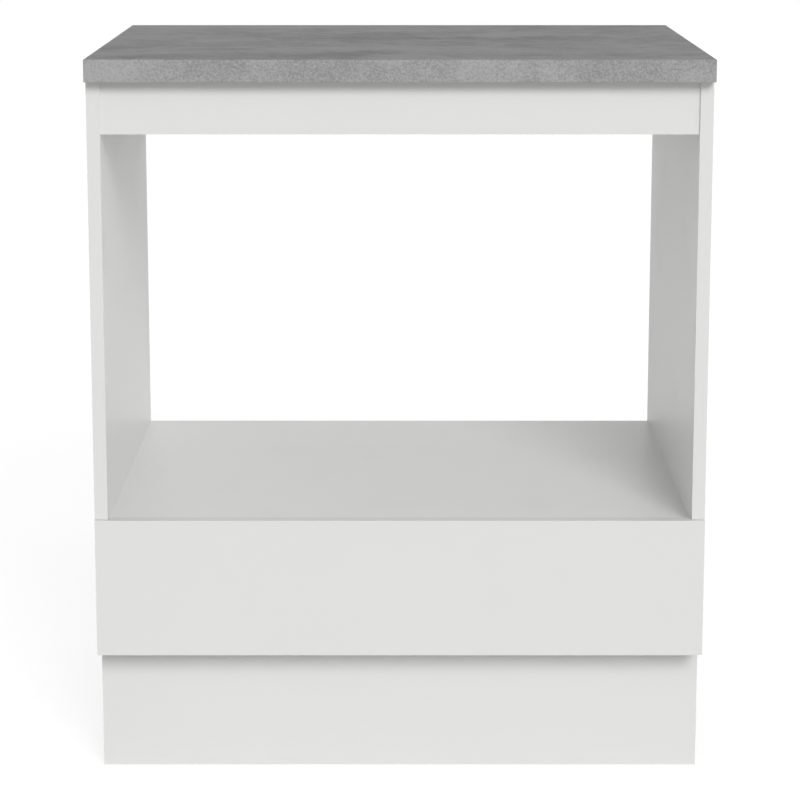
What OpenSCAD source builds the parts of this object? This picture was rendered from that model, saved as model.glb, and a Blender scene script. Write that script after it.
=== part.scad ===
// Kitchen base cabinet with an open appliance niche, a drawer below it and a recessed plinth.
// Millimetres, Z up. The origin is the middle of the footprint on the floor; the front faces -Y.

/* [Carcass] */
// Width over both side panels
carcass_w = 700; // [600:10:900]
// Depth from the side panels' front edges to the wall
carcass_d = 560; // [540:10:620]
// Height of the side panels
carcass_h = 663; // [600:1:760]
// Thickness of the coated boards
board_t = 15; // [15:0.5:18]
// Thickness of the edge bands on visible board edges
band_t = 0.8; // [0.4:0.1:1.5]
// Clear height of the drawer bay between the bottom board and the niche floor
bay_h = 127; // [120:1:160]

/* [Top rails] */
// Height of the front rail under the worktop
front_rail_h = 60; // [56:1:90]
// Height of the back rail under the worktop
back_rail_h = 100; // [80:1:110]
// Setback of the front rail behind the side panels' front edges
rail_setback = 3; // [1:0.5:6]
// Distance between the two wall-fixing holes in the back rail
wall_hole_spacing = 520; // [400:10:540]
// Diameter of the wall-fixing holes
wall_hole_d = 6; // [5:0.5:8]

/* [Worktop] */
// Thickness of the finished worktop
worktop_t = 25; // [22:1:38]
// Overhang of the worktop in front of the side panels
worktop_over = 20; // [10:1:40]
// Thickness of the laminate sheet on top
laminate_t = 0.8; // [0.5:0.1:1.2]
// Thickness of the worktop's edging strips
edging_t = 1; // [0.5:0.1:2]

/* [Lower back panel] */
// Thickness of the hardboard panel behind the drawer bay
panel_t = 3; // [2.5:0.5:5]
// Depth of the grooves that hold it
groove_depth = 6; // [4:0.5:7]
// Distance from the wall to the panel
panel_inset = 10; // [6:1:20]

/* [Plinth and legs] */
// Height of the legs at their rest setting
leg_h = 150; // [130:1:180]
// Thickness of the plinth board
plinth_t = 15; // [12:0.5:18]
// Recess of the plinth behind the side panels' front edges
plinth_recess = 45; // [35:1:60]
// Gap between the plinth and the floor, and between the plinth and the carcass
plinth_gap = 0.5; // [0.5:0.5:4]
// Outer diameter of a leg's tube
leg_tube_d = 40; // [36:1:46]
// Diameter of a foot's threaded spindle
spindle_d = 28; // [24:1:32]
// Diameter of a foot's pad
foot_d = 60; // [50:1:70]
// Diameter of the flange that is screwed under the bottom board
flange_d = 74; // [70:1:90]
// Distance from a side panel's outer face to the leg's axis
leg_side_inset = 62; // [50:1:100]
// Distance from the wall to the rear legs' axes
leg_back_inset = 90; // [85:1:120]

/* [Drawer front] */
// Thickness of the drawer front
front_t = 15; // [15:0.5:19]
// Distance that the lip stands in front of the side panels' edges
front_proud = 7.5; // [6:0.5:9]
// Gap behind the lip, filled by the bumpers
lip_gap = 1; // [0.5:0.1:1.5]
// Reveal of the drawer front at each side of the carcass
front_reveal = 0.5; // [0:0.5:3]
// Distance from the carcass's underside up to the drawer front's lower edge
front_lift = 1; // [0:0.5:4]
// Distance that the drawer front stands above the niche floor
front_rise = 4; // [1:0.5:8]
// Clearance round the drawer front's core, inside the carcass
core_gap = 1.5; // [1:0.5:3]

/* [Drawer box] */
// Thickness of the drawer box's boards
box_t = 12; // [12:0.5:15]
// Height of the drawer sides
box_h = 90; // [84:1:96]
// Depth of the drawer box
box_d = 450; // [350:10:470]
// Distance from the bottom board up to the drawer sides
box_lift = 12; // [10:1:16]
// Thickness of the drawer bottom
tray_t = 3; // [2.5:0.5:4]
// Depth of the groove that holds the drawer bottom
tray_groove = 5; // [3:0.5:6]

/* [Drawer slides] */
// Space that one slide takes between the side panel and the drawer box
slide_w = 12.7; // [12.5:0.1:13.5]
// Height of the cabinet member
slide_h = 45; // [42:0.5:48]
// Length of the slides
slide_l = 450; // [350:10:470]
// Thickness of the slides' steel sheet
sheet_t = 1.2; // [1:0.1:1.4]
// Diameter of the balls
ball_d = 4; // [3.6:0.1:4.2]
// Number of balls in a row
ball_count = 8; // [4:1:10]
// Depth of the ball tracks in the sheet
track_depth = 0.4; // [0.2:0.05:0.5]
// Thickness of the ball cages
cage_t = 0.6; // [0.4:0.1:0.8]

/* [Board fittings] */
// Diameter of the cam locks
cam_d = 15; // [14:0.5:15]
// Distance from a board's end to the cam's axis
cam_reach = 34; // [24:1:36]
// Diameter of the dowels
dowel_d = 8; // [6:1:8]
// Length of the dowels
dowel_l = 30; // [25:1:35]
// Distance between a cam lock's bolt and the dowel beside it
fitting_pitch = 32; // [32:32:64]

/* [Hidden] */
$fn = 48;

// Clearances and the overrun of a cutting tool past a face
fit_clear = 0.1;
cut = 1;

// Colours of the finishes
white_board = [0.88, 0.88, 0.87];
concrete_top = [0.53, 0.53, 0.53];
concrete_edge = [0.6, 0.6, 0.59];
chipboard = [0.76, 0.66, 0.5];
zinc = [0.74, 0.75, 0.77];
black_plastic = [0.09, 0.09, 0.1];
beech = [0.78, 0.62, 0.42];
clear_rubber = [0.8, 0.8, 0.78];

// Main planes of the carcass
outer_x = carcass_w / 2;
inner_x = outer_x - board_t;
overall_d = carcass_d + worktop_over;
worktop_front_y = -overall_d / 2;
front_y = worktop_front_y + worktop_over;
back_y = front_y + carcass_d;
base_z = leg_h;
top_z = base_z + carcass_h;
bay_z = base_z + board_t;
floor_z = bay_z + bay_h;
niche_z = floor_z + board_t;
worktop_z = top_z + worktop_t;

// Drawer front: the lip overlays the side panels' edges and the core fills the bay's mouth
lip_x = outer_x - front_reveal;
lip_front_y = front_y - front_proud;
lip_back_y = front_y - lip_gap;
core_x = inner_x - core_gap;
core_back_y = lip_front_y + front_t;
front_z0 = base_z + front_lift;
front_z1 = niche_z + front_rise;
core_z0 = bay_z + core_gap;

// The niche floor's band starts behind the drawer front's core
floor_gap = 2;
floor_front_y = core_back_y + floor_gap;

// Top rails
rail_front_y = front_y + rail_setback;
rail_back_y = rail_front_y + board_t;
back_rail_y = back_y - board_t;
wall_hole_z = top_z - back_rail_h / 2;

// Lower back panel in its grooves
panel_slack = 0.5;
panel_y = back_y - panel_inset - panel_t;

// Places of the fittings that join the boards to the side panels
cam_end_inset = 37;
rail_cam_drop = 40;
rail_dowel_drop = 16;
fitting_front_y = front_y + cam_end_inset;
fitting_back_y = back_y - cam_end_inset;
board_mid = board_t / 2;
facing_down = [0, 180, 0];
facing_back = [90, 0, 180];
facing_front = [-90, 0, 180];
front_rail_mid_y = rail_front_y + board_mid;
back_rail_mid_y = back_rail_y + board_mid;
bottom_cams = [for (y = [fitting_front_y, fitting_back_y]) [y, base_z + board_mid, facing_down]];
floor_cams = [for (y = [fitting_front_y, fitting_back_y]) [y, floor_z + board_mid, facing_down]];
front_rail_cams = [[front_rail_mid_y, top_z - rail_cam_drop, facing_back]];
back_rail_cams = [[back_rail_mid_y, top_z - rail_cam_drop, facing_front]];
all_cams = concat(bottom_cams, floor_cams, front_rail_cams, back_rail_cams);
dowel_ys = [fitting_front_y + fitting_pitch, fitting_back_y - fitting_pitch];
bottom_dowels = [for (y = dowel_ys) [y, base_z + board_mid]];
floor_dowels = [for (y = dowel_ys) [y, floor_z + board_mid]];
front_rail_dowels = [[front_rail_mid_y, top_z - rail_dowel_drop]];
back_rail_dowels = [[back_rail_mid_y, top_z - rail_dowel_drop]];
all_dowels = concat(bottom_dowels, floor_dowels, front_rail_dowels, back_rail_dowels);

// Cam lock, its bolt and its cap
cam_r = cam_d / 2;
cap_t = 1.2;
cap_rim = 1.3;
cap_r = cam_r + cap_rim;
cam_floor = 2.4;
cam_rim_gap = 0.4;
bolt_thread_r = 2.5;
bolt_thread_l = 10;
bolt_shank_r = 3.4;
bolt_neck_r = 2;
bolt_head_r = 3.2;
bolt_head_l = 3;
bolt_neck_l = 4;
bolt_hole_r = 4;
cam_mouth = 7.4;
cam_slot_w = 2;
cam_slot_depth = 2;
cam_slot_inset = 2;
dowel_in_side = 10;

// Worktop brackets and their screws
bracket_x = 200;
bracket_w = 24;
bracket_leg = 26;
bracket_t = 2;
bracket_hole_r = 2.3;
bracket_hole_at = 15;
bracket_slot_l = 9;
bracket_corner_r = 5;
bracket_gusset = 5;
screw_r = 1.75;
screw_head_r = 3.6;
screw_head_h = 2;
head_taper = 0.8;
drive_slot_w = 0.8;
rail_screw_l = 12;
worktop_screw_l = 18;

// Legs and feet
leg_x = outer_x - leg_side_inset;
plinth_front_y = front_y + plinth_recess;
plinth_back_y = plinth_front_y + plinth_t;
plinth_z0 = plinth_gap;
plinth_h = base_z - 2 * plinth_gap;
clip_plate_t = 3;
clip_stem_l = 12;
clip_ring_t = 3;
leg_tube_r = leg_tube_d / 2;
leg_front_y = plinth_back_y + clip_plate_t + clip_stem_l + clip_ring_t + fit_clear + leg_tube_r;
leg_back_y = back_y - leg_back_inset;
flange_t = 4;
leg_tube_z = 34;
spindle_r = spindle_d / 2;
spindle_top = 96;
spindle_clear = 0.08;
leg_roof = 6;
rib_count = 8;
rib_t = 2;
rib_h = 24;
rib_root = 1;
rib_end_inset = 4;
bead_h = 6;
bead_out = 1.5;
leg_screw_inset = 8;
leg_screw_circle = flange_d / 2 - leg_screw_inset;
leg_screw_r = 2;
leg_screw_l = 11;
leg_screw_head_r = 3.8;
leg_screw_head_h = 2.2;
foot_pad_h = 5;
foot_cone_h = 5;
foot_recess = 1.2;
foot_sole_w = 6;
collar_z = foot_pad_h + foot_cone_h;
collar_h = 12;
collar_inset = 2;
collar_r = leg_tube_r - collar_inset;
collar_flutes = 12;
flute_r = 2.4;
flute_out = 1;
flute_rise = 2;
cone_step = 2;

// Plinth clips
clip_z = 78;
clip_h = 22;
clip_plate_w = 36;
clip_plate_h = 44;
clip_stem_w = 14;
clip_mouth_half_angle = 52;
clip_screw_gap = 30;
clip_screw_l = 10;
clip_cavity_w = 8;
clip_cavity_floor = 3;
clip_cavity_wall = 2;

// Drawer box
box_x = inner_x - slide_w;
box_front_y = core_back_y;
box_back_y = box_front_y + box_d;
box_z0 = bay_z + box_lift;
box_z1 = box_z0 + box_h;
box_inner_x = box_x - box_t;
tray_drop = 9;
tray_z0 = box_z0 + tray_drop;
tray_z1 = tray_z0 + tray_t;
inner_front_back_y = box_front_y + box_t;
drawer_back_y = box_back_y - box_t;
box_dowel_d = 6;
box_dowel_in_side = 8;
box_dowel_in_end = 18;
box_dowel_drop = 16;
box_dowel_rise = 24;
front_screw_x = 240;
front_screw_drop = 22;
front_screw_rise = 26;
front_screw_r = 2;
front_screw_in_front = 9;
bumper_r = 5;
bumper_inset = 18;

// Slides, from the side panel inwards (u) and from the slide's middle line up (v)
slide_front_gap = 3;
slide_y0 = core_back_y + slide_front_gap;
slide_rise = 38;
slide_z = box_z0 + slide_rise;
ball_r = ball_d / 2;
ball_clear = 0.05;
cage_gap = 0.3;
outer_half = slide_h / 2;
row1_v = outer_half - sheet_t + track_depth - ball_r - ball_clear;
middle_half = row1_v - ball_r - ball_clear + track_depth;
row2_v = middle_half - sheet_t + track_depth - ball_r - ball_clear;
inner_half = row2_v - ball_r - ball_clear + track_depth;
cage1_u = sheet_t + cage_gap;
middle_u = cage1_u + cage_t + cage_gap;
cage2_u = middle_u + sheet_t + cage_gap;
row_step = 3;
row1_u = middle_u + row_step;
row2_u = row1_u + row_step;
outer_past_balls = 4.2;
outer_flange = row1_u + outer_past_balls;
outer_lip = 0.7;
middle_past_balls = 2;
middle_flange_end = row2_u + middle_past_balls;
inner_flange_gap = 1;
inner_flange_u = cage2_u + cage_t + inner_flange_gap;
cage1_past_balls = 2.7;
cage1_end = row1_u + cage1_past_balls;
cage2_past_balls = 2.3;
cage2_end = row2_u + cage2_past_balls;
pocket_clear = 0.15;

// A cage lies midway along its run and is half a member long, less the room that its stops take
cage_spare = 25;
cage_l = slide_l / 2 - cage_spare;
cage_y0 = slide_y0 + slide_l / 4 + cage_spare / 2;
cage_end = 10;
ball_pitch = (cage_l - 2 * cage_end) / (ball_count - 1);

// Holes along the slides: the screws, and between them the slots for setting the drawer
first_hole = 37;
last_hole = 35;
hole_pitch = 32;
slide_screw_ys = [slide_y0 + first_hole, slide_y0 + slide_l / 2, slide_y0 + slide_l - last_hole];
slide_slot_ys = [slide_screw_ys[0] + hole_pitch, slide_screw_ys[1] + hole_pitch, slide_screw_ys[2] - hole_pitch];
slide_slot_l = 11;
slide_slot_r = 2.2;
slide_screw_l = 11;
drawer_screw_l = 9;
slide_screw_head_r = 3.2;
access_r = 5;

// Stops: a bent end on the cabinet member, bosses that hold the outer cage and a tab for the inner one
stop_gap = 0.5;
member_l = slide_l - sheet_t - stop_gap;
rear_stop_half = 7;
boss_r = 2.5;
boss_h = 0.8;
boss_inset = 6;
boss_v = 9;
tab_inset = 4;
tab_half = 5;
tab_clear = 0.8;

// Release lever on the drawer member
lever_t = 1.8;
lever_boss_h = 0.8;
lever_boss_r = 4;
lever_hub_r = 5.5;
lever_pin_r = 2;
lever_at = 105;
lever_pad_l = 16;
lever_pad_half = 3.5;
lever_arm_l = 40;
lever_arm_w = 3.6;
lever_bow_r = 60;
lever_tip_r = 3;
lever_u = slide_w - sheet_t;
lever_y = slide_y0 + lever_at;
tab_u = lever_u - lever_t - lever_boss_h - tab_clear;

// Copies a shape that is drawn on the right to both sides
module both_sides() {
    children();
    mirror([1, 0, 0]) children();
}

// A block from its lowest to its highest corner
module block(low, high) {
    translate(low) cube(high - low);
}

// Puts a fitting's own axes at a place on the right side panel's inner face: X runs into the
// board, Z points to the face that the cam is set into
module at_side(y, z, turn) {
    translate([inner_x, y, z]) rotate(turn) children();
}

// A cylinder along X, from the origin
module rod(r, l) {
    rotate([0, 90, 0]) cylinder(r = r, h = l);
}

// Room for one cam lock and its bolt in the end of a board
module cam_room() {
    translate([cam_reach, 0, -board_mid + cam_floor])
        cylinder(r = cam_r + fit_clear, h = board_t);
    translate([-cut, 0, 0]) rod(bolt_hole_r, cam_reach + cut);
}

module cam_rooms(places) {
    both_sides() for (p = places) at_side(p[0], p[1], p[2]) cam_room();
}

// Room for one dowel on both sides of the joint
module dowel_rooms(places) {
    both_sides() for (p = places)
        translate([inner_x - dowel_l + dowel_in_side - fit_clear, p[0], p[1]])
            rod(dowel_d / 2 + fit_clear / 2, dowel_l + 2 * fit_clear);
}

// A countersunk screw along X: its head's face is at the origin and it runs along +X
module sunk_screw(r, l, head_r, head_h) {
    rotate([0, 90, 0]) union() {
        cylinder(r1 = head_r, r2 = r, h = head_h);
        cylinder(r = r, h = l);
    }
}

// A pan-head screw along X: the head's seat is at the origin and the shank runs along +X
module pan_screw(r, l, head_r, head_h) {
    rotate([0, 90, 0]) difference() {
        union() {
            cylinder(r = r, h = l);
            translate([0, 0, -head_h]) cylinder(r1 = head_r - head_taper, r2 = head_r, h = head_h);
        }
        for (a = [0, 90]) rotate([0, 0, a])
            translate([-head_r / 2, -drive_slot_w / 2, -head_h - cut])
                cube([head_r, drive_slot_w, head_h / 2 + cut]);
    }
}

// Worktop

module worktop_core() {
    color(chipboard) difference() {
        block([-outer_x + edging_t, worktop_front_y + edging_t, top_z],
              [outer_x - edging_t, back_y, worktop_z - laminate_t]);
        worktop_screw_places() rotate([0, -90, 0])
            translate([-cut, 0, 0]) rod(screw_r + fit_clear, worktop_screw_l + cut + fit_clear);
    }
}

module worktop_laminate() {
    color(concrete_top)
        block([-outer_x + edging_t, worktop_front_y + edging_t, worktop_z - laminate_t],
              [outer_x - edging_t, back_y, worktop_z]);
}

module worktop_front_edging() {
    color(concrete_edge)
        block([-outer_x, worktop_front_y, top_z], [outer_x, worktop_front_y + edging_t, worktop_z]);
}

module worktop_side_edging() {
    color(concrete_edge)
        block([outer_x - edging_t, worktop_front_y + edging_t, top_z], [outer_x, back_y, worktop_z]);
}

// Carcass boards

module side_panel() {
    color(white_board) difference() {
        block([inner_x, front_y + band_t, base_z], [outer_x, back_y, top_z]);
        for (p = all_cams) translate([inner_x - cut, p[0], p[1]])
            rod(bolt_thread_r + fit_clear / 2, bolt_thread_l + cut + fit_clear);
        for (p = all_dowels) translate([inner_x - cut, p[0], p[1]])
            rod(dowel_d / 2 + fit_clear / 2, dowel_in_side + cut + fit_clear);
        block([inner_x - cut, panel_y - fit_clear, bay_z - groove_depth],
              [inner_x + groove_depth, panel_y + panel_t + fit_clear, floor_z + groove_depth]);
        for (y = slide_screw_ys) translate([inner_x - cut, y, slide_z])
            rod(screw_r + fit_clear, slide_screw_l + cut);
    }
}

module side_edging() {
    color(white_board) block([inner_x, front_y, base_z], [outer_x, front_y + band_t, top_z]);
}

module panel_groove(z0, z1) {
    block([-inner_x - cut, panel_y - fit_clear, z0], [inner_x + cut, panel_y + panel_t + fit_clear, z1]);
}

module niche_floor() {
    color(white_board) difference() {
        block([-inner_x, floor_front_y + band_t, floor_z], [inner_x, back_y, niche_z]);
        cam_rooms(floor_cams);
        dowel_rooms(floor_dowels);
        panel_groove(floor_z - cut, floor_z + groove_depth);
    }
}

module niche_floor_edging() {
    color(white_board)
        block([-inner_x, floor_front_y, floor_z], [inner_x, floor_front_y + band_t, niche_z]);
}

module bottom_board() {
    color(white_board) difference() {
        block([-inner_x, front_y, base_z], [inner_x, back_y, bay_z]);
        cam_rooms(bottom_cams);
        dowel_rooms(bottom_dowels);
        panel_groove(bay_z - groove_depth, bay_z + cut);
        leg_screw_places() translate([0, 0, -cut])
            cylinder(r = leg_screw_r + fit_clear, h = leg_screw_l + cut + fit_clear);
    }
}

module top_front_rail() {
    color(white_board) difference() {
        block([-inner_x, rail_front_y, top_z - front_rail_h], [inner_x, rail_back_y, top_z]);
        cam_rooms(front_rail_cams);
        dowel_rooms(front_rail_dowels);
        rail_screw_places() translate([-cut, 0, 0]) rod(screw_r + fit_clear, rail_screw_l + cut);
    }
}

module top_back_rail() {
    color(white_board) difference() {
        block([-inner_x, back_rail_y, top_z - back_rail_h], [inner_x, back_y, top_z]);
        cam_rooms(back_rail_cams);
        dowel_rooms(back_rail_dowels);
        rail_screw_places() translate([-cut, 0, 0]) rod(screw_r + fit_clear, rail_screw_l + cut);
        both_sides() translate([wall_hole_spacing / 2, back_rail_y - cut, wall_hole_z])
            rotate([-90, 0, 0]) cylinder(r = wall_hole_d / 2, h = board_t + 2 * cut);
    }
}

module lower_back_panel() {
    reach = groove_depth - panel_slack;
    color(white_board)
        block([-inner_x - reach, panel_y, bay_z - reach], [inner_x + reach, panel_y + panel_t, floor_z + reach]);
}

// Board fittings

module cam_lock() {
    translate([cam_reach, 0, -board_mid + cam_floor + fit_clear]) {
        cam_h = board_t - cam_floor - fit_clear - cam_rim_gap;
        difference() {
            cylinder(r = cam_r, h = cam_h);
            translate([-cam_r - cut, -cam_mouth / 2, board_mid - cam_floor - fit_clear - cam_mouth / 2])
                cube([cam_r + cut + bolt_head_l, cam_mouth, cam_mouth]);
            for (a = [45, 135]) rotate([0, 0, a])
                translate([-cam_r + cam_slot_inset, -cam_slot_w / 2, cam_h - cam_slot_depth])
                    cube([cam_d - 2 * cam_slot_inset, cam_slot_w, cam_slot_depth + cut]);
        }
    }
}

module cam_locks() {
    color(zinc) both_sides() for (p = all_cams) at_side(p[0], p[1], p[2]) cam_lock();
}

module cam_bolt() {
    neck_end = cam_reach - bolt_head_l / 2;
    shank_l = neck_end - bolt_neck_l;
    translate([-bolt_thread_l, 0, 0]) rod(bolt_thread_r, bolt_thread_l);
    rod(bolt_shank_r, shank_l);
    translate([shank_l, 0, 0]) rod(bolt_neck_r, bolt_neck_l);
    translate([neck_end, 0, 0]) rod(bolt_head_r, bolt_head_l);
}

module cam_bolts() {
    color(zinc) both_sides() for (p = all_cams) at_side(p[0], p[1], p[2]) cam_bolt();
}

module carcass_dowels() {
    color(beech) both_sides() for (p = all_dowels)
        translate([inner_x + dowel_in_side - dowel_l, p[0], p[1]]) rod(dowel_d / 2, dowel_l);
}

// The rails' cams show from behind and inside, so each has a thin push-in cap
module cam_caps() {
    color(white_board) both_sides() for (p = concat(front_rail_cams, back_rail_cams))
        at_side(p[0], p[1], p[2]) translate([cam_reach, 0, board_mid]) cylinder(r = cap_r, h = cap_t);
}

// Where a bracket's screw enters its rail: X runs into the rail
module rail_screw_places() {
    both_sides() {
        translate([bracket_x, rail_back_y + bracket_t, top_z - bracket_hole_at])
            rotate([0, 0, -90]) children();
        translate([bracket_x, back_rail_y - bracket_t, top_z - bracket_hole_at])
            rotate([0, 0, 90]) children();
    }
}

// Where a bracket's screw enters the worktop, from the bracket's underside
module worktop_screw_places() {
    both_sides() for (y = [rail_back_y + bracket_hole_at, back_rail_y - bracket_hole_at])
        translate([bracket_x, y, top_z - bracket_t]) children();
}

// An oblong outline along X, about its middle
module oblong(l, r) {
    square([l - 2 * r, 2 * r], center = true);
    for (s = [-1, 1]) translate([s * (l / 2 - r), 0]) circle(r = r);
}

// One leg of a bracket: it lies on the XY plane, runs along +Y and has rounded free corners. Its
// hole has the outline of the children.
module bracket_plate() {
    corner_x = bracket_w / 2 - bracket_corner_r;
    linear_extrude(bracket_t) difference() {
        union() {
            translate([-bracket_w / 2, 0]) square([bracket_w, bracket_leg - bracket_corner_r]);
            translate([-corner_x, 0]) square([2 * corner_x, bracket_leg]);
            for (s = [-1, 1]) translate([s * corner_x, bracket_leg - bracket_corner_r])
                circle(r = bracket_corner_r);
        }
        translate([0, bracket_hole_at]) children();
    }
}

// An angle bracket in the corner under the worktop: its legs run down and along +Y. The slot in
// the upper leg lets the worktop swell and shrink.
module bracket() {
    rotate([-90, 0, 0]) bracket_plate() circle(r = bracket_hole_r);
    translate([0, 0, -bracket_t]) bracket_plate() oblong(bracket_slot_l, bracket_hole_r);
    translate([-bracket_t / 2, 0, 0]) rotate([0, 90, 0]) linear_extrude(bracket_t)
        polygon([[bracket_t, bracket_t], [bracket_t + bracket_gusset, bracket_t],
                 [bracket_t, bracket_t + bracket_gusset]]);
}

module worktop_brackets() {
    color(zinc) both_sides() {
        translate([bracket_x, rail_back_y, top_z]) bracket();
        translate([bracket_x, back_rail_y, top_z]) mirror([0, 1, 0]) bracket();
    }
}

module worktop_screws() {
    color(zinc) {
        rail_screw_places() pan_screw(screw_r, rail_screw_l, screw_head_r, screw_head_h);
        worktop_screw_places() rotate([0, -90, 0])
            pan_screw(screw_r, worktop_screw_l, screw_head_r, screw_head_h);
    }
}

// Legs, feet and plinth

// Where the screws of every leg's flange enter the bottom board, from the flange's underside
module leg_screw_places() {
    both_sides() for (y = [leg_front_y, leg_back_y]) translate([leg_x, y, base_z - flange_t])
        flange_screw_places() children();
}

module flange_screw_places() {
    for (a = [45 : 90 : 315]) rotate([0, 0, a]) translate([leg_screw_circle, 0, 0]) children();
}

// One leg about its own axis: a screwed flange, a ribbed tube with a bead at its mouth and the
// bore for the spindle
module leg() {
    color(black_plastic) difference() {
        union() {
            translate([0, 0, base_z - flange_t]) cylinder(r = flange_d / 2, h = flange_t);
            translate([0, 0, leg_tube_z]) cylinder(r = leg_tube_r, h = base_z - leg_tube_z);
            translate([0, 0, leg_tube_z]) cylinder(r = leg_tube_r + bead_out, h = bead_h);
            translate([0, 0, leg_tube_z + bead_h])
                cylinder(r1 = leg_tube_r + bead_out, r2 = leg_tube_r, h = bead_out);
            for (i = [0 : rib_count - 1]) rotate([0, 0, (i + 0.5) * 360 / rib_count])
                translate([0, rib_t / 2, base_z - flange_t]) rotate([90, 0, 0]) linear_extrude(rib_t)
                    polygon([[leg_tube_r - rib_root, -rib_h], [leg_tube_r, -rib_h],
                             [flange_d / 2 - rib_end_inset, 0], [leg_tube_r - rib_root, 0]]);
        }
        translate([0, 0, leg_tube_z - cut])
            cylinder(r = spindle_r + spindle_clear, h = base_z - leg_roof - leg_tube_z + cut);
        translate([0, 0, base_z - flange_t]) flange_screw_places() {
            translate([0, 0, -cut]) cylinder(r = leg_screw_r + fit_clear, h = flange_t + 2 * cut);
            cylinder(r1 = leg_screw_head_r + fit_clear, r2 = leg_screw_r + fit_clear,
                     h = leg_screw_head_h + fit_clear);
        }
    }
}

// One foot about its own axis: a pad with a recessed sole, a fluted collar and the spindle
module foot() {
    color(black_plastic) difference() {
        union() {
            cylinder(r = foot_d / 2, h = foot_pad_h);
            translate([0, 0, foot_pad_h])
                cylinder(r1 = foot_d / 2, r2 = collar_r + cone_step, h = foot_cone_h);
            translate([0, 0, collar_z]) cylinder(r = collar_r, h = collar_h);
            translate([0, 0, collar_z]) cylinder(r = spindle_r, h = spindle_top - collar_z);
        }
        translate([0, 0, -cut]) cylinder(r = foot_d / 2 - foot_sole_w, h = foot_recess + cut);
        for (i = [0 : collar_flutes - 1]) rotate([0, 0, i * 360 / collar_flutes])
            translate([collar_r + flute_out, 0, collar_z + flute_rise]) cylinder(r = flute_r, h = collar_h);
    }
}

module leg_screws() {
    color(zinc) leg_screw_places() rotate([0, -90, 0])
        sunk_screw(leg_screw_r, leg_screw_l, leg_screw_head_r, leg_screw_head_h);
}

module plinth_board() {
    color(white_board) difference() {
        block([-outer_x, plinth_front_y, plinth_z0], [outer_x, plinth_back_y, plinth_z0 + plinth_h]);
        clip_screw_places() translate([-cut, 0, 0])
            rod(screw_r + fit_clear, clip_screw_l + cut + fit_clear);
    }
}

// Where the clips' screws enter the plinth, from the clip plates' rear faces
module clip_screw_places() {
    both_sides() for (z = [-1, 1]) translate([leg_x, plinth_back_y + clip_plate_t,
                                              clip_z + clip_h / 2 + z * clip_screw_gap / 2])
        rotate([0, 0, -90]) children();
}

// The clip's plate lies on the plinth and its open ring snaps on the leg's tube
module plinth_clip() {
    ring_r = leg_tube_r + fit_clear + clip_ring_t;
    mouth = ring_r + cut;
    mid_z = clip_z + clip_h / 2;
    color(black_plastic) difference() {
        union() {
            block([leg_x - clip_plate_w / 2, plinth_back_y, mid_z - clip_plate_h / 2],
                  [leg_x + clip_plate_w / 2, plinth_back_y + clip_plate_t, mid_z + clip_plate_h / 2]);
            block([leg_x - clip_stem_w / 2, plinth_back_y, clip_z],
                  [leg_x + clip_stem_w / 2, leg_front_y - leg_tube_r, clip_z + clip_h]);
            translate([leg_x, leg_front_y, clip_z]) cylinder(r = ring_r, h = clip_h);
        }
        translate([leg_x, leg_front_y, clip_z - cut])
            cylinder(r = leg_tube_r + fit_clear, h = clip_h + 2 * cut);
        translate([leg_x, leg_front_y, clip_z - cut]) linear_extrude(clip_h + 2 * cut)
            polygon([[0, 0], [mouth * tan(clip_mouth_half_angle), mouth],
                     [-mouth * tan(clip_mouth_half_angle), mouth]]);
        block([leg_x - clip_cavity_w / 2, plinth_back_y + clip_plate_t, clip_z + clip_cavity_floor],
              [leg_x + clip_cavity_w / 2, plinth_back_y + clip_plate_t + clip_stem_l - clip_cavity_wall,
               clip_z + clip_h + cut]);
        for (z = [-1, 1]) translate([leg_x, plinth_back_y - cut, mid_z + z * clip_screw_gap / 2])
            rotate([-90, 0, 0]) cylinder(r = screw_r + fit_clear, h = clip_plate_t + 2 * cut);
    }
}

module plinth_clip_screws() {
    color(zinc) clip_screw_places() pan_screw(screw_r, clip_screw_l, screw_head_r, screw_head_h);
}

// Drawer

module drawer_front() {
    color(white_board) difference() {
        union() {
            block([-lip_x, lip_front_y, front_z0], [lip_x, lip_back_y, front_z1]);
            block([-core_x, lip_back_y, core_z0], [core_x, core_back_y, front_z1]);
        }
        front_screw_places() translate([-cut, 0, 0])
            rod(front_screw_r + fit_clear, box_t + front_screw_in_front + cut + fit_clear);
    }
}

// Where the front's screws start, on the inner front's rear face: X runs forwards
module front_screw_places() {
    both_sides() for (z = [box_z0 + front_screw_rise, box_z1 - front_screw_drop])
        translate([front_screw_x, inner_front_back_y, z]) rotate([0, 0, -90]) children();
}

module tray_slot() {
    reach = tray_groove;
    block([-box_inner_x - reach, inner_front_back_y - reach, tray_z0 - fit_clear],
          [box_inner_x + reach, box_back_y + cut, tray_z1 + fit_clear]);
}

// Room for the dowels in one corner of the box, along X through the joint
module box_dowel_places() {
    both_sides() for (y = [box_front_y + box_t / 2, box_back_y - box_t / 2])
        for (z = [box_z0 + box_dowel_rise, box_z1 - box_dowel_drop])
            translate([box_inner_x - box_dowel_in_end, y, z]) children();
}

module box_dowel_rooms() {
    box_dowel_places() translate([-fit_clear, 0, 0])
        rod(box_dowel_d / 2 + fit_clear / 2, box_dowel_in_end + box_dowel_in_side + 2 * fit_clear);
}

module drawer_inner_front() {
    color(white_board) difference() {
        block([-box_inner_x, box_front_y, box_z0], [box_inner_x, inner_front_back_y, box_z1]);
        tray_slot();
        box_dowel_rooms();
        front_screw_places() translate([-cut, 0, 0])
            rod(front_screw_r + fit_clear, box_t + 2 * cut);
    }
}

module drawer_side() {
    color(white_board) difference() {
        block([box_inner_x, box_front_y, box_z0], [box_x, box_back_y, box_z1]);
        tray_slot();
        box_dowel_rooms();
        for (y = slide_screw_ys) translate([box_x + cut, y, slide_z])
            rotate([0, 0, 180]) rod(screw_r + fit_clear, drawer_screw_l + cut);
    }
}

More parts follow.
